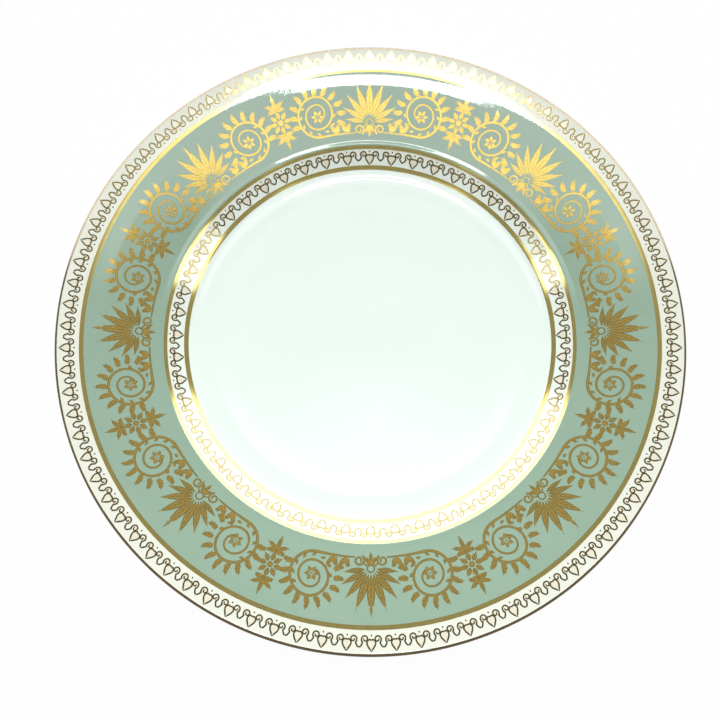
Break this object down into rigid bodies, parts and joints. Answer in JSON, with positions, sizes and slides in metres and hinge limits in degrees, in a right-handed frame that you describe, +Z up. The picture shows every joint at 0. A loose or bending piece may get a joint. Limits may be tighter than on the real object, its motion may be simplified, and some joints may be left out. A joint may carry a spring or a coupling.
{
  "type": "dinner plate",
  "caption": "Round china dinner plate with a nearly flat well, a sloping verge, a wide rim with a sage ground and gilt ornament, and a foot ring.",
  "frame": {"origin": "on the plate's axis, in the plane of the table under the foot ring", "axes": "+Z is up along the axis, out of the face; X and Y lie in the table's plane, and +X runs through the middle of one palmette"},
  "size_m": [0.273, 0.273, 0.026],
  "materials": {
    "china_body": "matt biscuit",
    "glaze": "gloss",
    "sage_ground": "gloss",
    "gold_lines": "burnished gold",
    "border_linework": "antique gold",
    "gilt_ornament": "antique gold"
  },
  "bodies": {
    "root": {"china_body": "china_body", "face_glaze": "glaze", "recess_glaze": "glaze", "sage_ground": "sage_ground", "edge_gilding": "gold_lines", "outer_gold_line": "gold_lines", "inner_gold_line": "gold_lines", "well_gold_line": "gold_lines", "outer_border_volutes": "border_linework", "outer_border_buds": "border_linework", "outer_border_swags": "border_linework", "inner_border_volutes": "border_linework", "inner_border_buds": "border_linework", "inner_border_swags": "border_linework", "palmette_leaves": "gilt_ornament", "palmette_scrolls": "gilt_ornament", "spiral_stems": "gilt_ornament", "spiral_leaves": "gilt_ornament", "rosette_petals": "gilt_ornament", "rosette_hearts": "gilt_ornament"}
  },
  "joints": []
}
